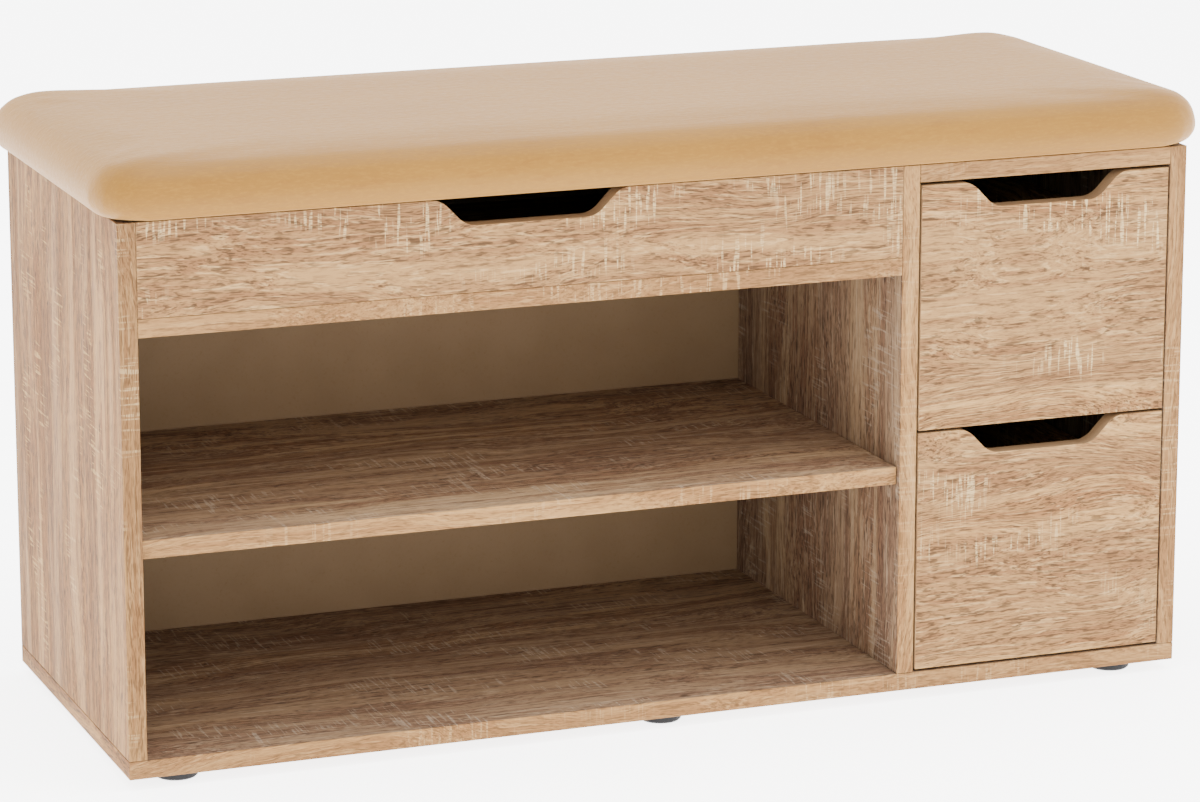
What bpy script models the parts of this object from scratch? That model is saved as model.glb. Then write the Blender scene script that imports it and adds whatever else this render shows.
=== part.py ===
"""Entryway bench: an open shoe rack, a shallow storage compartment, two drawers and a padded lid.

Frame: +X to the right, +Y to the back, +Z up, with the origin on the floor under the bench's middle.
Every size is in metres. The driving dimensions come first, and everything else follows from them.
"""
import math

import bmesh
import bpy
from mathutils import Matrix, Vector

# ---- driving dimensions: carcass ----
WIDTH = 1.000
DEPTH = 0.380
CARCASS_H = 0.485
BOARD_T = 0.016
BACK_T = 0.003
BACK_INSET = 0.001
EDGE_BREAK = 0.0004
BAY_W = 0.2495
FLOOR_RISE = 0.386
SHELF_RISE = 0.193
SHELF_SETBACK = 0.005
SHELF_PLAY = 0.001
RAIL_H = 0.060
GAP = 0.0003

# ---- driving dimensions: glides and shelf pins ----
FOOT_R = 0.019
FOOT_H = 0.010
FOOT_FLARE = 0.0015
FOOT_RECESS_R = 0.0055
FOOT_RECESS_H = 0.005
FOOT_INSET_X = 0.050
FOOT_INSET_Y = 0.032
PIN_R = 0.0025
PIN_LEN = 0.016
PIN_COLLAR_R = 0.0045
PIN_COLLAR_T = 0.0015
PIN_INSET_Y = 0.045

# ---- driving dimensions: finger cut-outs ----
GRIP_DEPTH = 0.024
GRIP_BEND_R = 0.022
GRIP_SLOPE = math.radians(46)
FASCIA_GRIP_FLAT = 0.100
DRAWER_GRIP_FLAT = 0.084
BEND_STEPS = 7

# ---- driving dimensions: padded lid ----
LID_OVERHANG = 0.018
LID_H = 0.0486
LID_PLAN_R = 0.046
LID_TOP_R = 0.0287
LID_BOTTOM_R = 0.016
LID_BOARD_INSET = 0.018
COVER_T = 0.0015
HEM_W = 0.045
CLOTH_T = 0.0006
CLOTH_INSET = 0.001

# ---- driving dimensions: lid hinges ----
KNUCKLE_R = 0.003
KNUCKLE_COUNT = 5
LEAF_T = 0.0012
LEAF_W = 0.060
LEAF_LEN = 0.024
LEAF_CLEAR = 0.0006
CURL = math.radians(300)
CURL_STEPS = 10
LEAF_HOLE_R = 0.0022
LEAF_HOLE_ASIDE = 0.020
HINGE_END_DISTANCE = 0.110
NOTCH_CLEAR = 0.0015

# ---- driving dimensions: drawers ----
FRONT_GAP = 0.0025
FRONT_SIDE_GAP = 0.002
FRONT_SPLIT = 0.2405
RUNNER_SPACE = 0.0125
DRAWER_RISE = 0.014
DRAWER_DROP = 0.060
DRAWER_REAR_CLEAR = 0.0107

# ---- driving dimensions: roller runners ----
STEEL_T = 0.0012
ROLLER_R = 0.008
ROLLER_W = 0.0065
ROLLER_BORE_R = 0.0025
STUD_R = 0.0021
STUD_HEAD_R = 0.0034
STUD_HEAD_T = 0.0008
CHANNEL_H = 0.0166
FLANGE_LIFT = 0.0008
LIP_W = 0.010
ROLLER_END = 0.010
RUNNER_SETBACK = 0.002
CHANNEL_START = 0.021

# ---- how finely round shapes are cut ----
ROD_SIDES = 12
HOLE_SIDES = 8
GLIDE_STEPS = 24
ROLLER_STEPS = 18
CORNER_STEPS = 6
TOP_EDGE_STEPS = 5
BOTTOM_EDGE_STEPS = 3
SHARP_ANGLE = 30
CUSHION_SHARP_ANGLE = 40
WELD = 0.00001

# ---- derived: carcass ----
X_LEFT = -WIDTH / 2
X_RIGHT = WIDTH / 2
Y_FRONT = -DEPTH / 2
Y_BACK = DEPTH / 2
Z_BASE = FOOT_H
Z_TOP = Z_BASE + CARCASS_H
Z_DECK = Z_BASE + BOARD_T
BOARD_BACK = Y_BACK - BACK_T - GAP
BAY_RIGHT = X_RIGHT - BOARD_T
BAY_LEFT = BAY_RIGHT - BAY_W
RACK_LEFT = X_LEFT + BOARD_T
RACK_RIGHT = BAY_LEFT - BOARD_T
FLOOR_Z = Z_BASE + FLOOR_RISE
SHELF_Z = Z_BASE + SHELF_RISE
RACK_MIDDLE = (RACK_LEFT + RACK_RIGHT) / 2
BAY_MIDDLE = (BAY_LEFT + BAY_RIGHT) / 2

# ---- derived: lid and hinges ----
LID_Z = Z_TOP + GAP
LID_BOARD_Z = LID_Z + COVER_T + GAP
LID_WIDTH = WIDTH + 2 * LID_OVERHANG
LID_DEPTH = DEPTH + 2 * LID_OVERHANG
HINGE_Y = Y_BACK + GAP + KNUCKLE_R
HINGE_Z = LID_BOARD_Z - GAP - KNUCKLE_R
KNUCKLE_SPAN = LEAF_W / KNUCKLE_COUNT
HINGE_PIN_R = KNUCKLE_R - LEAF_T - GAP
HINGE_X = {
    "left": RACK_LEFT + HINGE_END_DISTANCE,
    "middle": RACK_RIGHT - HINGE_END_DISTANCE,
    "right": BAY_MIDDLE,
}

# ---- derived: drawers ----
BAY_TOP = Z_TOP - BOARD_T - GAP
FRONT_BACK = Y_FRONT + BOARD_T
BOX_LEFT = BAY_LEFT + RUNNER_SPACE
BOX_RIGHT = BAY_RIGHT - RUNNER_SPACE
BOX_BACK = BOARD_BACK - DRAWER_REAR_CLEAR
SPLIT_Z = Z_BASE + FRONT_SPLIT
DRAWERS = {
    "lower": (Z_DECK + FRONT_GAP, SPLIT_Z - FRONT_GAP / 2),
    "upper": (SPLIT_Z + FRONT_GAP / 2, BAY_TOP - FRONT_GAP),
}

# ---- colours ----
OAK = (0.520, 0.365, 0.235, 1)
HARDBOARD = (0.330, 0.215, 0.125, 1)
PADDING = (0.900, 0.860, 0.700, 1)
UPHOLSTERY = (0.610, 0.430, 0.225, 1)
DARK_CLOTH = (0.030, 0.030, 0.032, 1)
BLACK_PLASTIC = (0.016, 0.016, 0.018, 1)
WHITE_PLASTIC = (0.800, 0.800, 0.780, 1)
STEEL = (0.560, 0.570, 0.580, 1)
CHIPBOARD = (0.420, 0.290, 0.170, 1)
ENAMEL = (0.750, 0.750, 0.740, 1)


# ---- scene helpers ----
def clear_scene():
    for item in list(bpy.data.objects):
        bpy.data.objects.remove(item, do_unlink=True)


def new_collection(name):
    collection = bpy.data.collections.new(name)
    bpy.context.scene.collection.children.link(collection)
    return collection


def make_material(name, colour, roughness, metallic=0.0):
    material = bpy.data.materials.new(name)
    material.use_nodes = True
    shader = material.node_tree.nodes["Principled BSDF"]
    shader.inputs["Base Color"].default_value = colour
    shader.inputs["Roughness"].default_value = roughness
    shader.inputs["Metallic"].default_value = metallic
    return material


def place(name, mesh, location=(0, 0, 0), material=None, collection=None):
    """Link a new object that shows this mesh."""
    item = bpy.data.objects.new(name, mesh)
    item.location = location
    if material:
        mesh.materials.clear()
        mesh.materials.append(material)
    (collection or PARTS).objects.link(item)
    return item


def mesh_from(name, build):
    """Make a mesh from a function that fills a bmesh."""
    bm = bmesh.new()
    build(bm)
    bmesh.ops.recalc_face_normals(bm, faces=bm.faces)
    mesh = bpy.data.meshes.new(name)
    bm.to_mesh(mesh)
    bm.free()
    return mesh


def smooth(mesh, angle=SHARP_ANGLE):
    mesh.shade_smooth()
    mesh.set_sharp_from_angle(angle=math.radians(angle))


def finished_mesh(item):
    """The object's mesh with its modifiers worked out, in the object's own axes."""
    bpy.context.view_layer.update()
    graph = bpy.context.evaluated_depsgraph_get()
    mesh = bpy.data.meshes.new_from_object(item.evaluated_get(graph), depsgraph=graph)
    mesh.name = item.name
    return mesh


def bake(item, helpers):
    """The object's finished mesh, with the object and its tools removed."""
    mesh = finished_mesh(item)
    for spent in (item, *helpers):
        bpy.data.objects.remove(spent, do_unlink=True)
    return mesh


def boolean(item, tool, operation="DIFFERENCE"):
    """Cut the tool out of the object, or join it on."""
    tool.hide_render = True
    tool.display_type = "WIRE"
    step = item.modifiers.new(tool.name, "BOOLEAN")
    step.operation = operation
    step.object = tool
    step.solver = "EXACT"
    return step


# ---- primitive shapes ----
def add_box(bm, low, high):
    size = [high[i] - low[i] for i in range(3)]
    middle = [(high[i] + low[i]) / 2 for i in range(3)]
    matrix = Matrix.Translation(middle) @ Matrix.Diagonal((*size, 1))
    return bmesh.ops.create_cube(bm, size=1, matrix=matrix)


def add_rod(bm, radius, start, end, segments=ROD_SIDES):
    """A solid round rod along X between two points, with flats and not corners on its top and sides."""
    middle = (Vector(start) + Vector(end)) / 2
    half_step = Matrix.Rotation(math.pi / segments, 4, "Z")
    matrix = Matrix.Translation(middle) @ Matrix.Rotation(math.pi / 2, 4, "Y") @ half_step
    length = (Vector(end) - Vector(start)).length
    bmesh.ops.create_cone(
        bm, cap_ends=True, segments=segments, radius1=radius, radius2=radius, depth=length, matrix=matrix)


def box_object(name, low, high, material, collection=None, edge_break=0.0):
    """A box whose origin is its centre."""
    middle = [(low[i] + high[i]) / 2 for i in range(3)]
    half = [(high[i] - low[i]) / 2 for i in range(3)]
    mesh = mesh_from(name, lambda bm: add_box(bm, [-h for h in half], half))
    item = place(name, mesh, middle, material, collection)
    if edge_break:
        bevel = item.modifiers.new("edge break", "BEVEL")
        bevel.width = edge_break
        bevel.segments = 1
    return item


def board(name, low, high, material=None):
    """A laminated board: a box with its edges just broken."""
    return box_object(name, low, high, material or OAK_BOARD, edge_break=EDGE_BREAK)


def tool_box(name, low, high):
    return box_object(name, low, high, None, TOOLS)


def tool_rod(name, radius, start, end):
    mesh = mesh_from(name, lambda bm: add_rod(bm, radius, start, end))
    return place(name, mesh, collection=TOOLS)


def outline_mesh(name, outline, thickness):
    """A flat outline of (x, y) points given an even thickness about its plane."""
    curve = bpy.data.curves.new(name, "CURVE")
    curve.dimensions = "2D"
    curve.fill_mode = "BOTH"
    curve.extrude = thickness / 2
    spline = curve.splines.new("POLY")
    spline.points.add(len(outline) - 1)
    for point, (x, y) in zip(spline.points, outline):
        point.co = (x, y, 0, 1)
    spline.use_cyclic_u = True
    blank = place(name, curve, collection=TOOLS)
    mesh = finished_mesh(blank)
    bpy.data.objects.remove(blank, do_unlink=True)
    bm = bmesh.new()
    bm.from_mesh(mesh)
    bmesh.ops.remove_doubles(bm, verts=bm.verts, dist=WELD)
    bmesh.ops.recalc_face_normals(bm, faces=bm.faces)
    bm.to_mesh(mesh)
    bm.free()
    return mesh


def turned_mesh(name, profile, steps, closed=False):
    """Turn a profile of (radius, height) points round Z with a Screw modifier."""
    def fill(bm):
        points = [bm.verts.new((radius, 0, height)) for radius, height in profile]
        for first, second in zip(points, points[1:]):
            bm.edges.new((first, second))
        if closed:
            bm.edges.new((points[-1], points[0]))
    blank = place(name, mesh_from(name, fill), collection=TOOLS)
    screw = blank.modifiers.new("turn", "SCREW")
    screw.steps = steps
    screw.render_steps = steps
    screw.use_merge_vertices = True
    screw.merge_threshold = WELD
    mesh = finished_mesh(blank)
    bpy.data.objects.remove(blank, do_unlink=True)
    smooth(mesh)
    return mesh


def rounded_block(bm, low, high, plan_r, top_r=0.0, bottom_r=0.0):
    """A block with round corners in plan and round top and bottom edges."""
    add_box(bm, low, high)
    upright = [e for e in bm.edges if abs(e.verts[0].co.z - e.verts[1].co.z) > GAP]
    bmesh.ops.bevel(bm, geom=upright, offset=plan_r, segments=CORNER_STEPS, profile=0.5, affect="EDGES")
    rounds = ((high[2], top_r, TOP_EDGE_STEPS), (low[2], bottom_r, BOTTOM_EDGE_STEPS))
    for level, radius, segments in rounds:
        if radius:
            rim = [e for e in bm.edges if all(abs(v.co.z - level) < GAP / 2 for v in e.verts)]
            bmesh.ops.bevel(bm, geom=rim, offset=radius, segments=segments, profile=0.5, affect="EDGES")


# ---- carcass ----
def grip_outline(flat, clearance):
    """Half of the finger cut-out as (distance from its middle, height under the edge) points.

    From the flat bottom it turns up through a hollow bend, runs up a slope, and turns out through a
    round bend into the board's edge.
    """
    bend_rise = GRIP_BEND_R * (1 - math.cos(GRIP_SLOPE))
    bend_run = GRIP_BEND_R * math.sin(GRIP_SLOPE)
    slope_run = (GRIP_DEPTH - 2 * bend_rise) / math.tan(GRIP_SLOPE)
    bottom = -GRIP_DEPTH
    top_middle = flat / 2 + 2 * bend_run + slope_run
    points = []
    for step in range(BEND_STEPS + 1):
        angle = GRIP_SLOPE * step / BEND_STEPS
        rise = GRIP_BEND_R * (1 - math.cos(angle))
        points.append((flat / 2 + GRIP_BEND_R * math.sin(angle), bottom + rise))
    for step in range(BEND_STEPS + 1):
        angle = GRIP_SLOPE * (1 - step / BEND_STEPS)
        rise = GRIP_BEND_R * (1 - math.cos(angle))
        points.append((top_middle - GRIP_BEND_R * math.sin(angle), -rise))
    points.append((top_middle, clearance))
    return points


def grip_cutter(name, middle, edge_z, flat):
    """A solid of the cut-out's outline that runs right through a front board."""
    half = grip_outline(flat, BOARD_T)
    outline = half + [(-x, z) for x, z in reversed(half)]
    mesh = outline_mesh(name, outline, 2 * BOARD_T)
    mesh.transform(Matrix.Rotation(math.pi / 2, 4, "X"))
    return place(name, mesh, (middle, Y_FRONT + BOARD_T / 2, edge_z), collection=TOOLS)


def make_carcass():
    front, back = Y_FRONT, BOARD_BACK
    deck = Z_DECK + GAP
    board("bottom_board", (X_LEFT, front, Z_BASE), (X_RIGHT, back, Z_DECK))
    side_left = board("side_left", (X_LEFT, front, deck), (RACK_LEFT, back, Z_TOP))
    board("side_right", (BAY_RIGHT, front, deck), (X_RIGHT, back, Z_TOP))
    partition = board("partition", (RACK_RIGHT, front, deck), (BAY_LEFT, back, Z_TOP))
    rack_low, rack_high = RACK_LEFT + GAP, RACK_RIGHT - GAP
    bay_low, bay_high = BAY_LEFT + GAP, BAY_RIGHT - GAP
    board("compartment_floor", (rack_low, front, FLOOR_Z), (rack_high, back, FLOOR_Z + BOARD_T))
    fascia = board(
        "front_fascia",
        (rack_low, front, FLOOR_Z + BOARD_T + GAP),
        (rack_high, FRONT_BACK, Z_TOP))
    boolean(fascia, grip_cutter("fascia_grip", RACK_MIDDLE, Z_TOP, FASCIA_GRIP_FLAT))
    board(
        "shelf",
        (RACK_LEFT + SHELF_PLAY, front + SHELF_SETBACK, SHELF_Z),
        (RACK_RIGHT - SHELF_PLAY, back - SHELF_PLAY, SHELF_Z + BOARD_T))
    board("drawer_bay_top", (bay_low, front, Z_TOP - BOARD_T), (bay_high, back, Z_TOP))
    rail_z = Z_TOP - RAIL_H
    board("hinge_rail_left", (rack_low, back - BOARD_T, rail_z), (rack_high, back, Z_TOP))
    board("hinge_rail_right", (bay_low, back - BOARD_T, rail_z), (bay_high, back, BAY_TOP))
    box_object(
        "back_panel",
        (X_LEFT + BACK_INSET, Y_BACK - BACK_T, Z_BASE + BACK_INSET),
        (X_RIGHT - BACK_INSET, Y_BACK, Z_TOP - BACK_INSET),
        HARDBOARD_SHEET)
    make_shelf_pins(side_left, partition)


def make_shelf_pins(side_left, partition):
    """Four pins in blind holes, with a collar against the board and their free end under the shelf."""
    height = SHELF_Z - GAP - PIN_COLLAR_R
    rows = {"front": Y_FRONT + PIN_INSET_Y, "rear": BOARD_BACK - PIN_INSET_Y}
    hosts = (("left", side_left, RACK_LEFT, 1), ("right", partition, RACK_RIGHT, -1))
    half = PIN_LEN / 2
    for side, host, wall, inward in hosts:
        for row, y in rows.items():
            def fill(bm):
                add_rod(bm, PIN_R, (-half, 0, 0), (half, 0, 0))
            pin = place("shelf_pin_" + side + "_" + row, mesh_from("pin", fill), (wall, y, height), STEEL_METAL)
            collar = tool_rod(
                "collar_" + side + "_" + row, PIN_COLLAR_R,
                (wall + inward * GAP, y, height), (wall + inward * (GAP + PIN_COLLAR_T), y, height))
            boolean(pin, collar, "UNION")
            hole = tool_rod(
                "pin_hole_" + side + "_" + row, PIN_R + GAP,
                (wall - inward * (half + GAP), y, height), (wall + inward * GAP, y, height))
            boolean(host, hole)


def make_feet():
    """Flat round glides, each with a screw recess in its underside."""
    top = FOOT_H - GAP
    profile = [
        (0, top),
        (FOOT_R, top),
        (FOOT_R, FOOT_FLARE),
        (FOOT_R - FOOT_FLARE, 0),
        (FOOT_RECESS_R, 0),
        (FOOT_RECESS_R, FOOT_RECESS_H),
        (0, FOOT_RECESS_H),
    ]
    mesh = turned_mesh("glide", profile, GLIDE_STEPS)
    columns = {"left": X_LEFT + FOOT_INSET_X, "middle": 0, "right": X_RIGHT - FOOT_INSET_X}
    rows = {"front": Y_FRONT + FOOT_INSET_Y, "rear": Y_BACK - FOOT_INSET_Y}
    for row, y in rows.items():
        for column, x in columns.items():
            place("foot_" + row + "_" + column, mesh, (x, y, 0), BLACK_GLIDE)


# ---- lid ----
def lid_box(inset, z_low, z_high):
    """Low and high corners of the lid's outline, brought in by an inset."""
    half_x = LID_WIDTH / 2 - inset
    half_y = LID_DEPTH / 2 - inset
    return (-half_x, -half_y, z_low), (half_x, half_y, z_high)


def lid_shell(name, inset, material=None, collection=None):
    """The cushion's outer shape, brought in evenly by an inset."""
    low, high = lid_box(inset, LID_Z + inset, LID_Z + LID_H - inset)

    def fill(bm):
        rounded_block(bm, low, high, LID_PLAN_R - inset, LID_TOP_R - inset, LID_BOTTOM_R - inset)
    mesh = mesh_from(name, fill)
    smooth(mesh, CUSHION_SHARP_ANGLE)
    return place(name, mesh, material=material, collection=collection)


def lid_slab(name, inset, z_low, z_high, material=None, collection=None):
    """A flat slab of the lid's outline, brought in by an inset."""
    low, high = lid_box(inset, z_low, z_high)
    corner = max(LID_PLAN_R - inset, BOARD_T / 4)
    mesh = mesh_from(name, lambda bm: rounded_block(bm, low, high, corner))
    return place(name, mesh, material=material, collection=collection)


def make_lid():
    board_top = LID_BOARD_Z + BOARD_T
    lid_slab("lid_board", LID_BOARD_INSET, LID_BOARD_Z, board_top, RAW_BOARD)
    foam = lid_shell("foam_pad", COVER_T + GAP, FOAM)
    pocket = lid_slab(
        "board_pocket", LID_BOARD_INSET - GAP, LID_Z - BOARD_T, board_top + GAP, collection=TOOLS)
    boolean(foam, pocket)
    cover = lid_shell("cushion_cover", 0, UPHOLSTERY_CLOTH)
    boolean(cover, lid_shell("padding_space", COVER_T, collection=TOOLS))
    hem_opening = lid_slab("hem_opening", HEM_W, LID_Z - BOARD_T, LID_BOARD_Z, collection=TOOLS)
    boolean(cover, hem_opening)
    cloth_top = LID_BOARD_Z - GAP
    lid_slab("dust_cloth", HEM_W + CLOTH_INSET, cloth_top - CLOTH_T, cloth_top, UNDER_CLOTH)
    for side, x in HINGE_X.items():
        reach = LEAF_W / 2 + NOTCH_CLEAR
        near = HINGE_Y - KNUCKLE_R - LEAF_CLEAR - LEAF_LEN - NOTCH_CLEAR
        far = HINGE_Y + KNUCKLE_R + LEAF_CLEAR
        notch = tool_box(
            "hinge_notch_" + side,
            (x - reach, near, LID_Z - BOARD_T),
            (x + reach, far, LID_BOARD_Z - GAP / 2))
        boolean(cover, notch)


# ---- lid hinges ----
def knuckle_spans(parity):
    """X ranges of every other knuckle, with a small gap to its neighbours."""
    first = -LEAF_W / 2
    spans = []
    for index in range(parity, KNUCKLE_COUNT, 2):
        low = first + index * KNUCKLE_SPAN
        spans.append((low + GAP / 2, low + KNUCKLE_SPAN - GAP / 2))
    return spans


def leaf_outline(parity):
    """The leaf's plate with a tab to each of its knuckles, as (x, distance from the pin) points."""
    near = KNUCKLE_R + LEAF_CLEAR
    far = near + LEAF_LEN
    outline = [(-LEAF_W / 2, near), (-LEAF_W / 2, far), (LEAF_W / 2, far), (LEAF_W / 2, near)]
    for low, high in reversed(knuckle_spans(parity)):
        outline += [(high, near), (high, 0), (low, 0), (low, near)]
    return outline


def leaf_mesh(name, parity, upright):
    """One leaf about the pin's axis, pressed from strip: its tabs are rolled round the pin as knuckles.

    The carcass leaf hangs down against the back, and the lid leaf lies forward under the lid board.
    """
    wall = KNUCKLE_R - LEAF_T / 2

    def fill(bm):
        bm.faces.new([bm.verts.new((x, away, wall)) for x, away in leaf_outline(parity)])
        rim = [edge for edge in bm.edges if all(v.co.y < GAP for v in edge.verts)]
        for _ in range(CURL_STEPS):
            grown = bmesh.ops.extrude_edge_only(bm, edges=rim)["geom"]
            ends = {item for item in grown if isinstance(item, bmesh.types.BMVert)}
            rim = [e for e in grown if isinstance(e, bmesh.types.BMEdge) and ends.issuperset(e.verts)]
            turn = Matrix.Rotation(CURL / CURL_STEPS, 3, "X")
            bmesh.ops.rotate(bm, cent=(0, 0, 0), matrix=turn, verts=list(ends))
    mesh = mesh_from(name, fill)
    mesh.transform(Matrix.Rotation(math.pi, 4, "Z"))
    if upright:
        mesh.transform(Matrix.Rotation(math.pi / 2, 4, "X"))
    leaf = place(name, mesh, collection=TOOLS)
    thick = leaf.modifiers.new("strip", "SOLIDIFY")
    thick.thickness = LEAF_T
    thick.offset = 0
    thick.use_even_offset = True
    middle = KNUCKLE_R + LEAF_CLEAR + LEAF_LEN / 2
    holes = []
    for x in (-LEAF_HOLE_ASIDE, LEAF_HOLE_ASIDE):
        hole_mesh = mesh_from(
            name, lambda bm: add_rod(bm, LEAF_HOLE_R, (-LEAF_T, 0, 0), (LEAF_T, 0, 0), HOLE_SIDES))
        hole = place(name + "_hole", hole_mesh, collection=TOOLS)
        hole.location = (x, -wall, -middle) if upright else (x, -middle, wall)
        hole.rotation_euler = (0, 0, math.pi / 2) if upright else (0, math.pi / 2, 0)
        boolean(leaf, hole)
        holes.append(hole)
    mesh = bake(leaf, holes)
    smooth(mesh)
    return mesh


def make_hinges():
    carcass_leaf = leaf_mesh("carcass_leaf", 0, True)
    lid_leaf = leaf_mesh("lid_leaf", 1, False)

    def fill_pin(bm):
        add_rod(bm, HINGE_PIN_R, (-LEAF_W / 2, 0, 0), (LEAF_W / 2, 0, 0))
    pin = mesh_from("hinge_pin", fill_pin)
    smooth(pin)
    for side, x in HINGE_X.items():
        axis_point = (x, HINGE_Y, HINGE_Z)
        place("hinge_" + side + "_carcass_leaf", carcass_leaf, axis_point, STEEL_METAL)
        place("hinge_" + side + "_lid_leaf", lid_leaf, axis_point, STEEL_METAL)
        place("hinge_" + side + "_pin", pin, axis_point, STEEL_METAL)


# ---- drawers ----
def make_drawer(name, z_low, z_high):
    """An inset front with a finger cut-out, two sides, a back and a nailed-on bottom sheet."""
    front = board(
        "drawer_" + name + "_front",
        (BAY_LEFT + FRONT_SIDE_GAP, Y_FRONT, z_low),
        (BAY_RIGHT - FRONT_SIDE_GAP, FRONT_BACK, z_high))
    boolean(front, grip_cutter(name + "_grip", BAY_MIDDLE, z_high, DRAWER_GRIP_FLAT))
    start = FRONT_BACK + GAP
    sheet_z = z_low + DRAWER_RISE
    side_z = sheet_z + BACK_T + GAP
    side_top = z_high - DRAWER_DROP
    box_object(
        "drawer_" + name + "_bottom",
        (BOX_LEFT, start, sheet_z), (BOX_RIGHT, BOX_BACK, sheet_z + BACK_T), HARDBOARD_SHEET)
    board(
        "drawer_" + name + "_side_left",
        (BOX_LEFT, start, side_z), (BOX_LEFT + BOARD_T, BOX_BACK, side_top))
    board(
        "drawer_" + name + "_side_right",
        (BOX_RIGHT - BOARD_T, start, side_z), (BOX_RIGHT, BOX_BACK, side_top))
    board(
        "drawer_" + name + "_back",
        (BOX_LEFT + BOARD_T + GAP, BOX_BACK - BOARD_T, side_z),
        (BOX_RIGHT - BOARD_T - GAP, BOX_BACK, side_top))


# ---- roller runners ----
# Runner meshes lie in a frame of their own: +X runs from the bay's wall towards the drawer, Y along the
# drawer, and Z is measured from the front roller's axle.
SHEET_MIDDLE = GAP + STEEL_T / 2
DRAWER_WEB = RUNNER_SPACE - GAP - STEEL_T / 2
CHANNEL_TOP = ROLLER_R - FLANGE_LIFT - STEEL_T - GAP
CHANNEL_LOW = CHANNEL_TOP - CHANNEL_H
FLANGE_Z = ROLLER_R + GAP
REAR_AXLE_DROP = CHANNEL_LOW + GAP + ROLLER_R
FRONT_ROLLER_X = GAP + STEEL_T + 2 * GAP
REAR_ROLLER_X = DRAWER_WEB - STEEL_T / 2 - 2 * GAP - ROLLER_W
CHANNEL_REACH = REAR_ROLLER_X + ROLLER_W
RUNNER_START = FRONT_BACK + RUNNER_SETBACK
RUNNER_LEN = BOX_BACK - RUNNER_START
LIP_TOP = REAR_AXLE_DROP - ROLLER_R - 2 * GAP


def sheet_profile(name, points):
    """A folded steel strip: an open surface along Y, thickened evenly."""
    def fill(bm):
        row = [bm.verts.new((x, 0, z)) for x, z in points]
        edges = [bm.edges.new(pair) for pair in zip(row, row[1:])]
        grown = bmesh.ops.extrude_edge_only(bm, edges=edges)["geom"]
        ends = [item for item in grown if isinstance(item, bmesh.types.BMVert)]
        bmesh.ops.translate(bm, verts=ends, vec=(0, RUNNER_LEN, 0))
    strip = place(name, mesh_from(name, fill), collection=TOOLS)
    thick = strip.modifiers.new("steel", "SOLIDIFY")
    thick.thickness = STEEL_T
    thick.offset = 0
    thick.use_even_offset = True
    return strip


def add_stud(strip, y, z, wall, direction):
    """Rivet an axle stud with a flat head onto the strip, for a roller to turn on."""
    roller_start = wall + direction * 2 * GAP
    roller_end = roller_start + direction * ROLLER_W
    head_start = roller_end + direction * GAP
    head_end = head_start + direction * STUD_HEAD_T
    stud = tool_rod("stud", STUD_R, (wall - direction * STEEL_T / 2, y, z), (head_end, y, z))
    head = tool_rod("stud_head", STUD_HEAD_R, (head_start, y, z), (head_end, y, z))
    boolean(strip, stud, "UNION")
    boolean(strip, head, "UNION")
    return [stud, head]


def cabinet_member_mesh():
    """A channel that the drawer's rear roller runs in, with a roller on its front end."""
    top = CHANNEL_TOP + STEEL_T / 2
    low = CHANNEL_LOW - STEEL_T / 2
    strip = sheet_profile(
        "cabinet_member",
        [(CHANNEL_REACH, low), (SHEET_MIDDLE, low), (SHEET_MIDDLE, top), (CHANNEL_REACH, top)])
    wall = GAP + STEEL_T
    relief = tool_box("relief", (wall, -ROLLER_END, -4 * ROLLER_R), (RUNNER_SPACE, CHANNEL_START, 4 * ROLLER_R))
    boolean(strip, relief)
    studs = add_stud(strip, ROLLER_END, 0, wall, 1)
    return bake(strip, [relief, *studs])


def drawer_member_mesh():
    """A strip folded under the drawer's bottom and out over the front roller, with a rear roller."""
    lip_z = LIP_TOP - STEEL_T / 2
    strip = sheet_profile(
        "drawer_member",
        [
            (RUNNER_SPACE + LIP_W, lip_z),
            (DRAWER_WEB, lip_z),
            (DRAWER_WEB, FLANGE_Z + STEEL_T / 2),
            (FRONT_ROLLER_X, FLANGE_Z + STEEL_T / 2),
        ])
    wall = DRAWER_WEB - STEEL_T / 2
    studs = add_stud(strip, RUNNER_LEN - ROLLER_END, REAR_AXLE_DROP, wall, -1)
    return bake(strip, studs)


def mirrored(mesh):
    """A left-right mirror image of the mesh, with its faces still pointing out."""
    copy = mesh.copy()
    copy.transform(Matrix.Diagonal((-1, 1, 1, 1)))
    copy.flip_normals()
    return copy


def make_runners():
    cabinet = cabinet_member_mesh()
    drawer = drawer_member_mesh()
    ring = [
        (ROLLER_R, ROLLER_W / 2),
        (ROLLER_R, -ROLLER_W / 2),
        (ROLLER_BORE_R, -ROLLER_W / 2),
        (ROLLER_BORE_R, ROLLER_W / 2),
    ]
    roller = turned_mesh("roller", ring, ROLLER_STEPS, closed=True)
    meshes = {"left": (cabinet, drawer), "right": (mirrored(cabinet), mirrored(drawer))}
    walls = {"left": (BAY_LEFT, 1), "right": (BAY_RIGHT, -1)}
    for level, (z_low, _) in DRAWERS.items():
        axle_z = z_low + DRAWER_RISE - GAP - LIP_TOP
        for side, (wall, inward) in walls.items():
            tag = level + "_" + side
            origin = (wall, RUNNER_START, axle_z)
            place("runner_" + tag + "_cabinet", meshes[side][0], origin, PAINTED_STEEL)
            place("runner_" + tag + "_drawer", meshes[side][1], origin, PAINTED_STEEL)
            spots = {
                "front": (FRONT_ROLLER_X, ROLLER_END, 0),
                "rear": (REAR_ROLLER_X, RUNNER_LEN - ROLLER_END, REAR_AXLE_DROP),
            }
            for end, (x, y, z) in spots.items():
                centre = (wall + inward * (x + ROLLER_W / 2), RUNNER_START + y, axle_z + z)
                wheel = place("roller_" + tag + "_" + end, roller, centre, NYLON)
                wheel.rotation_euler = (0, math.pi / 2, 0)


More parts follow.
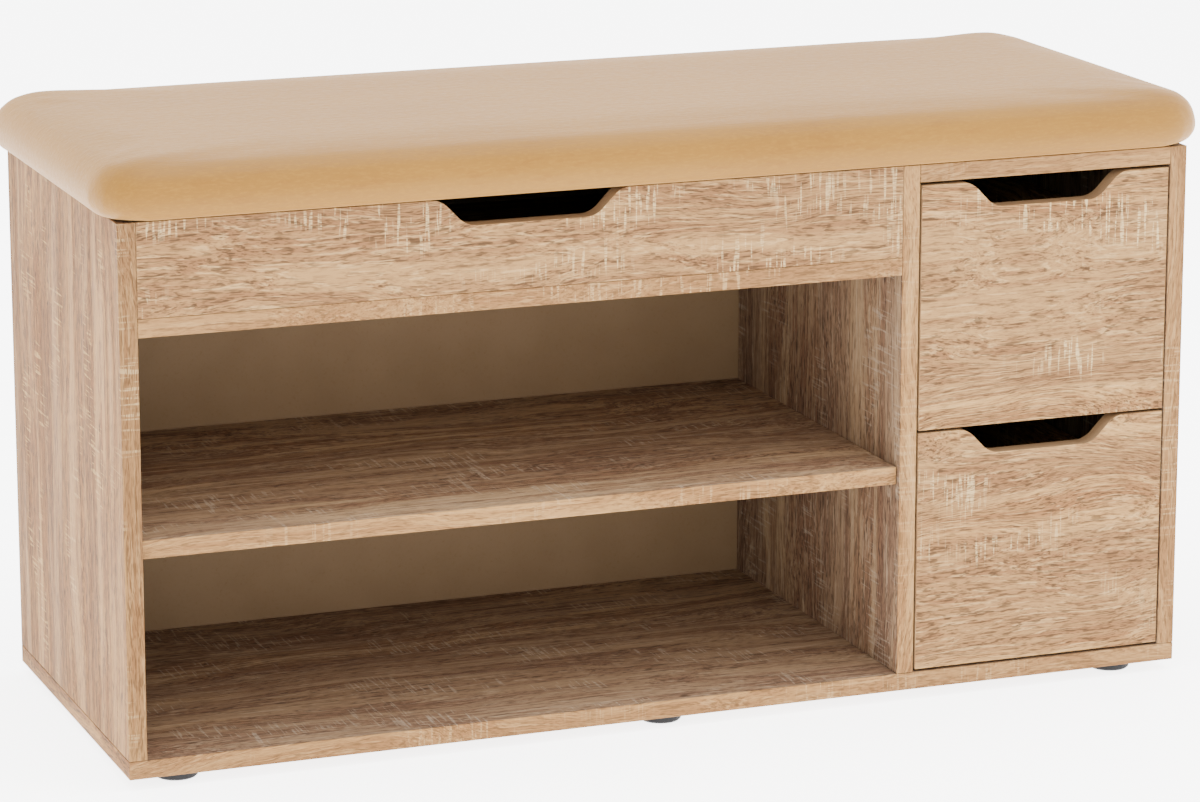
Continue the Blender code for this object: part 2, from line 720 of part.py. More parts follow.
# ---- build ----
clear_scene()
PARTS = new_collection("entryway_bench")
TOOLS = new_collection("cutters")
OAK_BOARD = make_material("oak laminate", OAK, 0.5)
RAW_BOARD = make_material("chipboard", CHIPBOARD, 0.8)
HARDBOARD_SHEET = make_material("hardboard", HARDBOARD, 0.7)
FOAM = make_material("foam", PADDING, 0.9)
UPHOLSTERY_CLOTH = make_material("upholstery", UPHOLSTERY, 0.6)
UNDER_CLOTH = make_material("dust cloth", DARK_CLOTH, 0.9)
BLACK_GLIDE = make_material("black plastic", BLACK_PLASTIC, 0.45)
NYLON = make_material("nylon", WHITE_PLASTIC, 0.4)
STEEL_METAL = make_material("zinc steel", STEEL, 0.35, 1.0)
PAINTED_STEEL = make_material("white enamel", ENAMEL, 0.4)

make_carcass()
make_feet()
make_lid()
make_hinges()
for drawer_name, (front_low, front_high) in DRAWERS.items():
    make_drawer(drawer_name, front_low, front_high)
make_runners()
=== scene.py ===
# %% [markdown]
# # Entryway bench
# A bench for a hall: an open shoe rack on the left, two drawers on the right, a shallow
# compartment behind the fascia, and a padded lid to sit on. The boards are chipboard with a
# printed oak foil, so most of this lesson is about one good wood pattern, used board by board.

import math

import bmesh
import bpy
from mathutils import Matrix, Vector


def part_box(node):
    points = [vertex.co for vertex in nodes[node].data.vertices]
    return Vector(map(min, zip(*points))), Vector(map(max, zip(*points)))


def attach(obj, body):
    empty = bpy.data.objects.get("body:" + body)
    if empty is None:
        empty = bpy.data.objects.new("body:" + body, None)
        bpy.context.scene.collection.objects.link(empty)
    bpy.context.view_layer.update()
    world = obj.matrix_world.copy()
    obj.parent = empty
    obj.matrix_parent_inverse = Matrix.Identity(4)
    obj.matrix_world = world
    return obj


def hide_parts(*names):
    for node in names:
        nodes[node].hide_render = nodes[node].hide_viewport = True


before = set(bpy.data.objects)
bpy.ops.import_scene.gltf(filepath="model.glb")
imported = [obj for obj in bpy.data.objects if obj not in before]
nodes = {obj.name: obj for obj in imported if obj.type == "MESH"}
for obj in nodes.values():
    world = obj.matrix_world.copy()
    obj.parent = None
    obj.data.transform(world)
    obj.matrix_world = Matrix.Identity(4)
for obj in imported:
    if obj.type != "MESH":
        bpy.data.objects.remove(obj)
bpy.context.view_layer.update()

# %% [markdown]
# ## Camera
# The bench is seen from the front left, a little from above, through a long lens that keeps the
# boards nearly parallel. The camera could track an empty, but a direction worked out from two
# angles is plain to read: a turn of 21 degrees from the left and 13 degrees down.

# %% Camera
TURN = math.radians(21.0)
DOWN = math.radians(12.92)
AWAY = 4.2122
aim = Vector((0.003, 0.0, 0.3133))
look = Vector((math.sin(TURN) * math.cos(DOWN), math.cos(TURN) * math.cos(DOWN), -math.sin(DOWN)))
lens = bpy.data.cameras.new("long_lens")
lens.sensor_width = 36
lens.lens = 138.1
lens.shift_y = -0.05
camera = bpy.data.objects.new("camera", lens)
camera.location = aim - look * AWAY
camera.rotation_euler = look.to_track_quat("-Z", "Y").to_euler()
bpy.context.scene.collection.objects.link(camera)
bpy.context.scene.camera = camera
print("camera at", [round(v, 3) for v in camera.location])

# %% [markdown]
# ## Soft studio light
# Furniture is shown in a white room with big soft boxes. A large area light from the front left
# models the boards, one overhead lights the seat, a weak one fills the right, and a pale world does
# the rest, so that the inside of the rack falls off to brown by itself.

# %% Lights and world


def srgb(hex_code):
    """An sRGB hex colour as linear red, green, blue and alpha."""
    parts = [int(hex_code[i:i + 2], 16) / 255 for i in (0, 2, 4)]
    return tuple(c / 12.92 if c <= 0.04045 else ((c + 0.055) / 1.055) ** 2.4 for c in parts) + (1,)


def soft_box(name, place, towards, size, power, hex_colour):
    """An area light at a place, turned towards a point."""
    light = bpy.data.lights.new(name, "AREA")
    light.shape = "RECTANGLE"
    light.size, light.size_y = size
    light.energy = power
    light.color = srgb(hex_colour)[:3]
    item = bpy.data.objects.new(name, light)
    item.location = place
    item.rotation_euler = (Vector(towards) - Vector(place)).to_track_quat("-Z", "Y").to_euler()
    bpy.context.scene.collection.objects.link(item)


SEAT = (0, 0, 0.3)
ROOM_STRENGTH = 3.5
soft_box("key_front_left", (-0.9, -3.3, 2.1), SEAT, (2.2, 1.8), 45, "FFF6EA")
soft_box("top_box", (0.2, -0.3, 3.0), SEAT, (2.6, 2.0), 100, "FFFCF6")
soft_box("fill_right", (2.6, -1.8, 1.6), SEAT, (1.8, 1.8), 25, "FFFAF4")
world = bpy.data.worlds.new("white_room")
world.use_nodes = True
room = world.node_tree.nodes["Background"]
room.inputs["Color"].default_value = srgb("F4F5F6")
room.inputs["Strength"].default_value = ROOM_STRENGTH
bpy.context.scene.world = world

# %% [markdown]
# ## Helpers for materials
# Every finish below is a small network of nodes. One function starts a material with its shader,
# and one adds a node with its settings and links, so each network reads as a list of steps. Two
# more hold steps that come back in every finish: a stretched noise, and colours laid over a ground.

# %% Material helpers
# A Mix node has its own pair of inputs for numbers, for vectors and for colours.
VALUE_A, VALUE_B = 2, 3
VECTOR_A, VECTOR_B = 4, 5
MIX_A, MIX_B = 6, 7
AXES = {"X": 0, "Y": 1, "Z": 2}
SMOOTH = {"interpolation_type": "SMOOTHSTEP"}


def start(name, **shader_values):
    """A material with one Principled shader, whose constant values are set on its own sockets."""
    material = bpy.data.materials.new(name)
    material.use_nodes = True
    tree = material.node_tree
    shader = tree.nodes["Principled BSDF"]
    for socket, value in shader_values.items():
        shader.inputs[socket.replace("_", " ")].default_value = value
    return material, tree, shader


def connect(tree, item, inputs):
    """Gives a node's inputs their constants or links. A node given as a value is linked by the
    first of its outputs that is in use."""
    for key, value in inputs.items():
        if isinstance(value, bpy.types.Node):
            value = next(socket for socket in value.outputs if socket.enabled)
        if isinstance(value, bpy.types.NodeSocket):
            tree.links.new(value, item.inputs[key])
        else:
            item.inputs[key].default_value = value


def add(tree, kind, inputs=None, **settings):
    """Adds a node with its settings, constants and links."""
    item = tree.nodes.new("ShaderNode" + kind)
    for name, value in settings.items():
        setattr(item, name, value)
    connect(tree, item, inputs or {})
    return item


def stretched(tree, place, across_mm, along_mm, detail, shift=0.0, rough=0.55):
    """A pattern of blobs across_mm wide and along_mm long in the grain's direction."""
    size = add(tree, "Mapping", {
        "Vector": place, "Location": (shift, shift, shift),
        "Scale": (1000 / along_mm, 1000 / across_mm, 1000 / across_mm)})
    return add(tree, "TexNoise", {
        "Vector": size, "Scale": 1.0, "Detail": detail, "Roughness": rough})


def layered(tree, ground, layers):
    """Lays colours over a ground. A layer is a pattern, the two values of it between which the
    colour grows from nothing to its full strength, that strength, and the colour."""
    for pattern, low_value, high_value, strength, hex_colour in layers:
        depth = add(tree, "MapRange", {
            "Value": pattern, "From Min": low_value, "From Max": high_value, "To Max": strength},
            **SMOOTH)
        ground = add(tree, "Mix", {0: depth, MIX_A: ground, MIX_B: srgb(hex_colour)},
                     data_type="RGBA")
    return ground


def finish(names, material):
    """Gives frame nodes a material through their slots."""
    for name in names:
        for slot in nodes[name].material_slots:
            slot.material = material


# %% [markdown]
# ## Oak foil
# The boards wear a printed paper foil under a clear melamine coat: sawn oak, pale tan, with short
# dark pores, growth bands 10 to 20 mm wide that bend into arches, pale lines along the grain, and
# clusters of thin whitish saw marks across it. The print shows several planks side by side, some
# darker, so the tone steps at a joint. The coat gives the eye a dull, broad gloss. An image would
# be the quick way. A pattern worked out in space is better here, because no two boards repeat and
# it runs round the edges. All of it is noise stretched along the grain, and the stretch sets what
# it looks like: long for bands, short for pores, and turned by a right angle for saw marks.

# %% Sizes and inks of the print
# Real oak pores are about 0.3 mm wide, which is too fine to show. Pores, flecks, pale lines and saw
# marks are drawn as coarse as they need to show, at 1 to 3 mm.
PORE_MM, PORE_LONG_MM = 1.5, 15.0
FLECK_MM, FLECK_LONG_MM = 0.9, 8.0
RING_MM, RING_LONG_MM = 4.2, 260.0
BAND_MM, BAND_LONG_MM = 24.0, 520.0
LINE_MM, LINE_LONG_MM = 2.6, 90.0
PLANK_MM, PLANK_LONG_MM = 85.0, 1400.0
SAW_MM, SAW_LONG_MM = 2.8, 40.0
CLUSTER_MM, CLUSTER_LONG_MM = 62.0, 120.0
ARCH_MM, ARCH_LONG_MM, ARCH_M = 130.0, 420.0, 0.055
WANDER_MM, WANDER_LONG_MM, WANDER_M = 14.0, 60.0, 0.0022
PALE_WOOD, LATE_WOOD = "937248", "6F4D30"
BAND_INK, PLANK_INK, LINE_INK = "745234", "664B33", "A4875D"
FLECK_INK, PORE_INK, SAW_INK = "49331F", "38281A", "A8916A"
print("print details from", FLECK_MM, "mm wide to", PLANK_LONG_MM, "mm long")

# %% [markdown]
# The print's own directions come first. Every later step then works in them: X is along the
# grain, whichever way the board stands. The ends of a board show the print in a direction of their
# own. A second point is pushed aside in wide arches and a small waver, and bends what is drawn
# from it.

# %% Directions and bends of the grain
# A face looks squarely in a direction when its normal has more than this share of it.
SQUARE_ON = 0.7
TURNS = {"X": (0, 0, 0), "Y": (0, 0, -math.pi / 2), "Z": (0, math.pi / 2, 0)}


def along_print(tree, coords, facing, grain, ends, spot):
    """The place on a board in the directions of its print, which is moved by spot."""
    along_grain, along_ends = [add(tree, "Mapping", {
        "Vector": coords.outputs["Object"], "Rotation": TURNS[axis], "Location": spot})
        for axis in (grain, ends)]
    end_on = add(tree, "Math", {0: facing.outputs[AXES[grain]]}, operation="ABSOLUTE")
    is_end = add(tree, "Math", {0: end_on, 1: SQUARE_ON}, operation="GREATER_THAN")
    return add(tree, "Mix", {0: is_end, VECTOR_A: along_grain, VECTOR_B: along_ends},
               data_type="VECTOR")


def bent(tree, place, bend):
    """The same place pushed aside, so that what is drawn from it bends."""
    arches = add(tree, "MapRange", {
        "Value": stretched(tree, place, ARCH_MM, ARCH_LONG_MM, detail=1.5, shift=3.1),
        "To Min": -ARCH_M * bend, "To Max": ARCH_M * bend}, **SMOOTH)
    wander = add(tree, "MapRange", {
        "Value": stretched(tree, place, WANDER_MM, WANDER_LONG_MM, detail=2.0, shift=7.7),
        "To Min": -WANDER_M, "To Max": WANDER_M}, **SMOOTH)
    drift = add(tree, "Math", {0: arches, 1: wander}, operation="ADD")
    push = add(tree, "CombineXYZ", {1: drift, 2: drift})
    return add(tree, "VectorMath", {0: place, 1: push}, operation="ADD")


# %% [markdown]
# The inks lie one over the other, as in a printing press: late wood over pale wood, then the bands,
# the darker planks and the pale lines, and on top the flecks and the pores. Flecks and pores are
# open in the early wood and nearly closed in the late wood, so both fade with the growth rings.

# %% Growth bands, flecks and pores


def wood_inks(tree, flow):
    """The colour of the print without its saw marks. It comes with the patterns that later steps
    need: the bands, the flecks and the depth of the pores."""
    rings = stretched(tree, flow, RING_MM, RING_LONG_MM, detail=2.0, rough=0.6)
    bands = stretched(tree, flow, BAND_MM, BAND_LONG_MM, detail=2.0, shift=5.3)
    pores = stretched(tree, flow, PORE_MM, PORE_LONG_MM, detail=1.5, shift=1.9, rough=0.6)
    flecks = stretched(tree, flow, FLECK_MM, FLECK_LONG_MM, detail=1.0, shift=8.2)
    lines = stretched(tree, flow, LINE_MM, LINE_LONG_MM, detail=1.5, shift=4.4)
    planks = stretched(tree, flow, PLANK_MM, PLANK_LONG_MM, detail=0.0, shift=11.3)
    growth = add(tree, "Mix", {0: 0.5, VALUE_A: bands, VALUE_B: rings})
    colour = layered(tree, srgb(PALE_WOOD), [
        (growth, 0.38, 0.62, 1.0, LATE_WOOD),
        (bands, 0.40, 0.66, 0.35, BAND_INK),
        (planks, 0.485, 0.515, 0.34, PLANK_INK),
        (lines, 0.54, 0.66, 0.45, LINE_INK)])
    early_wood = add(tree, "MapRange", {
        "Value": growth, "From Min": 0.36, "From Max": 0.56, "To Min": 0.30}, **SMOOTH)
    open_grain = ((flecks, 0.66, 0.60, FLECK_INK), (pores, 0.64, 0.80, PORE_INK))
    for pattern, full, strength, ink in open_grain:
        depth = add(tree, "MapRange", {
            "Value": pattern, "From Min": 0.50, "From Max": full, "To Max": strength}, **SMOOTH)
        depth = add(tree, "Math", {0: depth, 1: early_wood}, operation="MULTIPLY")
        colour = add(tree, "Mix", {0: depth, MIX_A: colour, MIX_B: srgb(ink)}, data_type="RGBA")
    return colour, bands, flecks, depth


# %% [markdown]
# A frame saw leaves fine lines across the grain, which the print shows as whitish scratches. They
# come in clusters and are worn away here and there, so one noise draws the lines, a second says
# where they are, and the flecks break them up.

# %% Saw marks


def saw_marks(tree, place, flecks, saw):
    """How strongly the saw marks show at a place."""
    lines = add(tree, "MapRange", {
        "Value": stretched(tree, place, SAW_LONG_MM, SAW_MM, detail=1.0, shift=2.6),
        "From Min": 0.56, "From Max": 0.64}, **SMOOTH)
    here = add(tree, "MapRange", {
        "Value": stretched(tree, place, CLUSTER_MM, CLUSTER_LONG_MM, detail=1.0, shift=6.5),
        "From Min": 0.52, "From Max": 0.62, "To Max": saw}, **SMOOTH)
    worn = add(tree, "MapRange", {
        "Value": flecks, "From Min": 0.60, "From Max": 0.44, "To Min": 0.15}, **SMOOTH)
    marks = add(tree, "Math", {0: lines, 1: here}, operation="MULTIPLY")
    return add(tree, "Math", {0: marks, 1: worn}, operation="MULTIPLY")


# %% [markdown]
# Light and shade are painted into the print of the boards. The faces inside the bench are toned
# cooler than the front, and the shelf and the bottom lighter too, for how the light falls in the
# rack. The outer ends are toned darker and warmer, painted shade that offsets their pale reflection
# at a flat angle. Such a tone multiplies the print on the faces that don't look forward.
# The cut edges of the boards carry a glued strip with a plainer print.

# %% Painted light tones and edge bands
# Each edge band has its ground, its pores, and how far it hides the board's own print. A strip
# covers the faces that look forward or back, and on a rim it covers the faces between them.
EDGE_BANDS = {
    "front": ("7A5834", "5C4027", 0.40),
    "dark_front": ("5E4226", "422B17", 0.45),
    # The rim band is a glued strip and also painted shade: its ground is darkened for the shaded
    # cut edges of the finger grips.
    "rim": ("7D644A", "6B5238", 1.0)}
# Painted shade: this tone darkens and warms the outer ends, to offset their pale reflection at a
# flat angle.
OUTSIDE_PAINTED_SHADE = (0.85, 0.74, 0.56)
# The shares of a normal at which a face fully looks forward or back, and at which it doesn't.
FORWARD, ASIDE = 0.75, 0.55


def painted_light_toned(tree, colour, facing, forward, tone, outer):
    """The print in a tone of painted light on the faces that don't look forward, and in the outside
    tone of painted shade on the outer faces.
    """
    tone_colour = (*tone, 1)
    for way in outer:
        outward = add(tree, "Math", {0: facing.outputs["X"], 1: way}, operation="MULTIPLY")
        is_outer = add(tree, "Math", {0: outward, 1: SQUARE_ON}, operation="GREATER_THAN")
        tone_colour = add(tree, "Mix", {0: is_outer, MIX_A: tone_colour, MIX_B: (*OUTSIDE_PAINTED_SHADE, 1)},
                          data_type="RGBA")
    toned = add(tree, "Mix", {0: 1.0, MIX_A: colour, MIX_B: tone_colour},
                data_type="RGBA", blend_type="MULTIPLY")
    aside = add(tree, "MapRange", {
        "Value": forward, "From Min": FORWARD, "From Max": ASIDE}, **SMOOTH)
    return add(tree, "Mix", {0: aside, MIX_A: colour, MIX_B: toned}, data_type="RGBA")


def edge_banded(tree, colour, forward, flecks, band):
    """The print with a strip glued over the board's edge."""
    ground, strip_pores, share = EDGE_BANDS[band]
    strip = layered(tree, srgb(ground), [(flecks, 0.4, 0.7, 0.45, strip_pores)])
    bare, covered = (FORWARD, ASIDE) if band == "rim" else (ASIDE, FORWARD)
    on_strip = add(tree, "MapRange", {
        "Value": forward, "From Min": bare, "From Max": covered, "To Max": share}, **SMOOTH)
    return add(tree, "Mix", {0: on_strip, MIX_A: colour, MIX_B: strip}, data_type="RGBA")


# %% Oak foil on one board


def oak_foil(name, grain, spot, ends="Y", band="front", tone=None, outer=(), saw=0.6, bend=1.0):
    """Printed oak on one board. grain is its direction, spot moves the print, and ends is the
    direction of the print on the end faces. band says which edge band the board has. tone is
    painted
    light: it turns the print cooler, or lighter and cooler, on the faces that don't look forward,
    for how the light falls inside the rack. outer says which ways along X a face looks that is on
    the outside of the bench. Those faces get the outside tone, painted shade that offsets a pale
    reflection at a flat angle."""
    material, tree, shader = start(name, IOR=1.5, Specular_IOR_Level=0.05)
    coords = add(tree, "TexCoord")
    facing = add(tree, "SeparateXYZ", {0: coords.outputs["Normal"]})
    forward = add(tree, "Math", {0: facing.outputs["Y"]}, operation="ABSOLUTE")
    place = along_print(tree, coords, facing, grain, ends, spot)
    colour, bands, flecks, pore_depth = wood_inks(tree, bent(tree, place, bend))
    marks = saw_marks(tree, place, flecks, saw)
    colour = add(tree, "Mix", {0: marks, MIX_A: colour, MIX_B: srgb(SAW_INK)}, data_type="RGBA")
    if tone:
        colour = painted_light_toned(tree, colour, facing, forward, tone, outer)
    colour = edge_banded(tree, colour, forward, flecks, band)
    gloss = add(tree, "MapRange", {
        "Value": bands, "From Min": 0.3, "From Max": 0.7, "To Min": 0.52, "To Max": 0.66}, **SMOOTH)
    hollow = add(tree, "Math", {0: pore_depth, 1: -1.0}, operation="MULTIPLY")
    relief = add(tree, "Bump", {"Height": hollow, "Strength": 0.35, "Distance": 0.0003})
    connect(tree, shader, {"Base Color": colour, "Roughness": gloss, "Normal": relief})
    return material


# %% [markdown]
# ### A board at a time
# A maker cuts boards from different sheets, so each board gets its own stretch of the print, with
# the grain along its length. On the sides and the partition it stands upright.

# %% Oak on the carcass and the drawers
# These tones are painted light, and multiply the print: a blue share above 1 takes the warmth out
# of it, for the cooler light inside the rack, and the shelf and the bottom are painted lighter too.
INSIDE_PAINTED_LIGHT = (0.86, 0.98, 1.45)
SHELF_PAINTED_LIGHT = (1.00, 1.16, 1.72)
BOTTOM_PAINTED_LIGHT = (0.92, 1.06, 1.58)
BOARDS = {
    "front_fascia": dict(grain="X", spot=(0.31, 0.2, 0.113), band="rim", saw=0.7),
    "compartment_floor": dict(grain="X", spot=(1.7, 0.5, 0.31)),
    "shelf": dict(grain="X", spot=(2.9, 1.3, 0.77), saw=0.5, tone=SHELF_PAINTED_LIGHT),
    "bottom_board": dict(grain="X", spot=(4.3, 0.2, 1.31), saw=0.5, tone=BOTTOM_PAINTED_LIGHT,
                         outer=(-1, 1)),
    "drawer_bay_top": dict(grain="X", spot=(5.9, 0.9, 0.93)),
    "side_left": dict(grain="Z", spot=(6.2, 1.7, 0.4), band="dark_front", bend=0.5,
                      saw=0.8, tone=INSIDE_PAINTED_LIGHT, outer=(-1,)),
    "side_right": dict(grain="Z", spot=(7.7, 0.4, 1.1), bend=0.5, tone=INSIDE_PAINTED_LIGHT, outer=(1,)),
    "partition": dict(grain="Z", spot=(8.8, 1.1, 0.6), bend=0.5, saw=0.4, tone=INSIDE_PAINTED_LIGHT),
    "hinge_rail_left": dict(grain="X", spot=(9.1, 1.1, 0.2)),
    "hinge_rail_right": dict(grain="X", spot=(9.9, 0.3, 0.5)),
    "drawer_upper_front": dict(grain="X", spot=(0.93, 0.7, 0.241), ends="Z", band="rim", saw=0.85),
    "drawer_lower_front": dict(grain="X", spot=(2.17, 0.2, 0.645), ends="Z", band="rim", saw=0.7),
    "drawer_upper_back": dict(grain="Z", spot=(3.3, 0.2, 0.5)),
    "drawer_lower_back": dict(grain="Z", spot=(4.7, 0.8, 0.1)),
    "drawer_upper_side_left": dict(grain="Y", spot=(5.1, 0.6, 0.7), ends="Z"),
    "drawer_upper_side_right": dict(grain="Y", spot=(5.5, 0.1, 0.2), ends="Z"),
    "drawer_lower_side_left": dict(grain="Y", spot=(6.6, 0.5, 0.8), ends="Z"),
    "drawer_lower_side_right": dict(grain="Y", spot=(7.2, 0.9, 0.3), ends="Z"),
}
for board, print_of in BOARDS.items():
    finish([board], oak_foil("oak_foil_" + board, **print_of))
print("oak boards:", len(BOARDS))

# %% [markdown]
# ## Hardboard, chipboard and plain foam
# The back and the drawer bottoms are 3 mm hardboard: pressed fibre, painted beige on the side that
# shows and left brown on the other. The eye gets a smooth dull paint with a hint of fibres, and a
# dark, fuzzy reverse. The lid board is bare chipboard, flakes pressed in glue: speckled and matt.
# Each is a mix of noises at the size of its fibres or flakes. Fibres and dust are thinner than a
# hair, and are drawn as coarse as they need to show, at 3 and 1.5 mm.

# %% Hardboard material
FIBRE_MM, CLOUD_MM = 3.0, 60.0


def hardboard(name, good_side, sign):
    """Painted on the side that faces along good_side, raw on the other."""
    material, tree, shader = start(name, IOR=1.48, Specular_IOR_Level=0.15)
    coords = add(tree, "TexCoord")
    fibre = stretched(tree, coords.outputs["Object"], FIBRE_MM, FIBRE_MM, detail=4.0, rough=0.7)
    cloud = stretched(tree, coords.outputs["Object"], CLOUD_MM, CLOUD_MM, detail=2.0, shift=3.0)
    paint = layered(tree, srgb("6F5940"), [
        (cloud, 0.3, 0.7, 1.0, "735D44"), (fibre, 0.55, 0.75, 0.4, "634D35")])
    raw = layered(tree, srgb("45290F"), [
        (cloud, 0.3, 0.7, 1.0, "4E3014"), (fibre, 0.50, 0.72, 0.7, "2C190A")])
    facing = add(tree, "SeparateXYZ", {0: coords.outputs["Normal"]})
    side = add(tree, "Math", {0: facing.outputs[good_side], 1: sign}, operation="MULTIPLY")
    painted = add(tree, "MapRange", {"Value": side, "From Min": 0.3, "From Max": 0.6}, **SMOOTH)
    colour = add(tree, "Mix", {0: painted, MIX_A: raw, MIX_B: paint}, data_type="RGBA")
    gloss = add(tree, "MapRange", {
        "Value": fibre, "From Min": 0.3, "From Max": 0.7, "To Min": 0.55, "To Max": 0.72}, **SMOOTH)
    relief = add(tree, "Bump", {"Height": fibre, "Strength": 0.25, "Distance": 0.0002})
    connect(tree, shader, {"Base Color": colour, "Roughness": gloss, "Normal": relief})
    return material


TRAYS = ["drawer_upper_bottom", "drawer_lower_bottom"]
finish(["back_panel"], hardboard("painted_hardboard_back", "Y", -1.0))
finish(TRAYS, hardboard("painted_hardboard_tray", "Z", 1.0))
print("hardboard panels:", 1 + len(TRAYS))

# %% Bare chipboard, for the lid board
chipboard, tree, shader = start("bare_chipboard", Roughness=0.8, IOR=1.45)
coords = add(tree, "TexCoord")
FLAKE_MM, DUST_MM = 4.0, 1.5
flakes = add(tree, "TexVoronoi", {
    "Vector": coords.outputs["Object"], "Scale": 1000 / FLAKE_MM, "Randomness": 1.0})
dust = stretched(tree, coords.outputs["Object"], DUST_MM, DUST_MM, detail=2.0)
flake_tone = add(tree, "SeparateColor", {0: flakes.outputs["Color"]})
colour = layered(tree, srgb("B08E62"), [
    (flake_tone, 0.0, 1.0, 1.0, "D2B78A"), (dust, 0.5, 0.7, 0.5, "8C6A42")])
relief = add(tree, "Bump", {"Height": flakes, "Strength": 0.4, "Distance": 0.0003})
connect(tree, shader, {"Base Color": colour, "Normal": relief})
finish(["lid_board"], chipboard)
print("chipboard flakes in mm:", FLAKE_MM)

# %% [markdown]
# The pad is cut from polyether foam: pale cream, soft and matt, with small open cells. The cells
# are about half a millimetre wide, which is too fine to show, so they are drawn at 1.2 mm. A
# Voronoi pattern has their round shape, which a noise has not.

# %% Polyether foam, for the pad inside the cover
foam, tree, shader = start("polyether_foam", Roughness=0.9)
coords = add(tree, "TexCoord")
FOAM_CELL_MM = 1.2
cells = add(tree, "TexVoronoi", {"Vector": coords.outputs["Object"], "Scale": 1000 / FOAM_CELL_MM})
# The cell hollows are painted darker than the pale walls: painted shade inside the open cells.
colour = layered(tree, srgb("C9B98A"), [(cells, 0.1, 0.7, 1.0, "EFE6C6")])
relief = add(tree, "Bump", {"Height": cells, "Strength": 0.5, "Distance": 0.0004})
connect(tree, shader, {"Base Color": colour, "Normal": relief})
finish(["foam_pad"], foam)
print("foam cells in mm:", FOAM_CELL_MM)

# %% [markdown]
# ## Leatherette
# The seat is covered in a smooth golden tan leatherette: a polyurethane skin on a knitted back. Its
# grain is fine and runs lengthways, with a few faint creases. Seen at a flat angle the skin turns
# pale and loses its colour, which is why the top looks beige beside the golden front. Sheen and a
# soft gloss do that with no trick, from any side. The embossed grain is about half a millimetre
# wide on real leatherette, and is drawn at 2 mm, as coarse as it needs to show.

# %% Leatherette material
GRAIN_MM, GRAIN_LONG_MM = 2.0, 6.0
CREASE_MM, CREASE_LONG_MM = 7.0, 30.0
SHADE_MM, SHADE_LONG_MM = 120.0, 200.0
leatherette, tree, shader = start(
    "golden_tan_leatherette", IOR=1.5, Specular_IOR_Level=0.14, Sheen_Weight=0.24,
    Sheen_Roughness=0.5, Sheen_Tint=srgb("FFCF9A"))
on_seat = add(tree, "TexCoord").outputs["Object"]
grain_fine = stretched(tree, on_seat, GRAIN_MM, GRAIN_LONG_MM, detail=2.5)
creases = stretched(tree, on_seat, CREASE_MM, CREASE_LONG_MM, detail=3.0, shift=4.0, rough=0.65)
clouds = stretched(tree, on_seat, SHADE_MM, SHADE_LONG_MM, detail=2.0, shift=9.0)
# The crease layer darkens the colour along the creases, painted shade beside their relief, and the
# fine grain layer lightens the raised grain, a painted highlight.
colour = layered(tree, srgb("6D4B15"), [
    (clouds, 0.3, 0.7, 1.0, "725019"), (creases, 0.52, 0.70, 0.45, "684412"),
    (grain_fine, 0.45, 0.7, 0.35, "7F5C21")])
gloss = add(tree, "MapRange", {
    "Value": grain_fine, "From Min": 0.3, "From Max": 0.7, "To Min": 0.44, "To Max": 0.58},
    **SMOOTH)
crease_relief = add(tree, "Bump", {"Height": creases, "Strength": 0.45, "Distance": 0.0011})
grain_relief = add(tree, "Bump", {
    "Height": grain_fine, "Strength": 0.35, "Distance": 0.0004, "Normal": crease_relief})
connect(tree, shader, {"Base Color": colour, "Roughness": gloss, "Normal": grain_relief})
print("leatherette nodes:", len(tree.nodes))

# %% [markdown]
# The cloth under the lid is non-woven polypropylene: spun fibres pressed together at small points.
# It is matt black with a faint dotted relief. The points are about 1 mm apart on real cloth. They
# are drawn 2.4 mm apart, and the fibres 0.9 mm wide, as coarse as they need to show.

# %% Non-woven dust cloth
dust_fabric, tree, shader = start(
    "black_non_woven_cloth", Roughness=0.85, Specular_IOR_Level=0.1, Sheen_Weight=0.04)
coords = add(tree, "TexCoord")
BOND_MM, SPUN_MM, SPUN_LONG_MM = 2.4, 0.9, 3.0
bonds = add(tree, "TexVoronoi", {
    "Vector": coords.outputs["Object"], "Scale": 1000 / BOND_MM, "Randomness": 0.15})
fibres = stretched(tree, coords.outputs["Object"], SPUN_MM, SPUN_LONG_MM, detail=3.0)
colour = layered(tree, srgb("0E0E10"), [
    (bonds, 0.12, 0.3, 1.0, "1D1D1F"), (fibres, 0.5, 0.7, 0.35, "303034")])
relief = add(tree, "Bump", {"Height": bonds, "Strength": 0.4, "Distance": 0.0003})
connect(tree, shader, {"Base Color": colour, "Normal": relief})
print("dust cloth points apart in mm:", BOND_MM)

# %% [markdown]
# ## Plastic and metal
# The glides are black polypropylene, moulded, which gives a dull black with a faint orange peel.
# The runners are steel with baked enamel: smooth, white and fairly glossy. The hinges and pins are
# zinc plated, a bright grey metal with cloudy patches. The staples are galvanised wire, duller and
# darker, and the rollers nylon, a waxy off-white that light enters a little. These are small, so
# each finish needs just a skin of the right roughness with some blotches and a fine grit in it. The
# grit is too fine to show on the real ones, and is drawn at 0.5 to 1.4 mm.

# %% Plastic and metal materials


def skin(name, tones, blotch_mm, grit_mm, roughness, relief_mm, **shader_values):
    """A material whose tone and roughness vary a little over blotches, with a fine grit in
    relief. tones and roughness are each a pair between which they vary."""
    material, tree, shader = start(name, **shader_values)
    coords = add(tree, "TexCoord")
    blotch = stretched(tree, coords.outputs["Object"], blotch_mm, blotch_mm, detail=3.0)
    grit = stretched(tree, coords.outputs["Object"], grit_mm, grit_mm, detail=2.0, shift=5.0)
    colour = layered(tree, srgb(tones[0]), [(blotch, 0.35, 0.65, 1.0, tones[1])])
    gloss = add(tree, "MapRange", {
        "Value": blotch, "From Min": 0.3, "From Max": 0.7,
        "To Min": roughness[0], "To Max": roughness[1]}, **SMOOTH)
    relief = add(tree, "Bump", {"Height": grit, "Strength": 0.3, "Distance": relief_mm / 1000})
    connect(tree, shader, {"Base Color": colour, "Roughness": gloss, "Normal": relief})
    return material


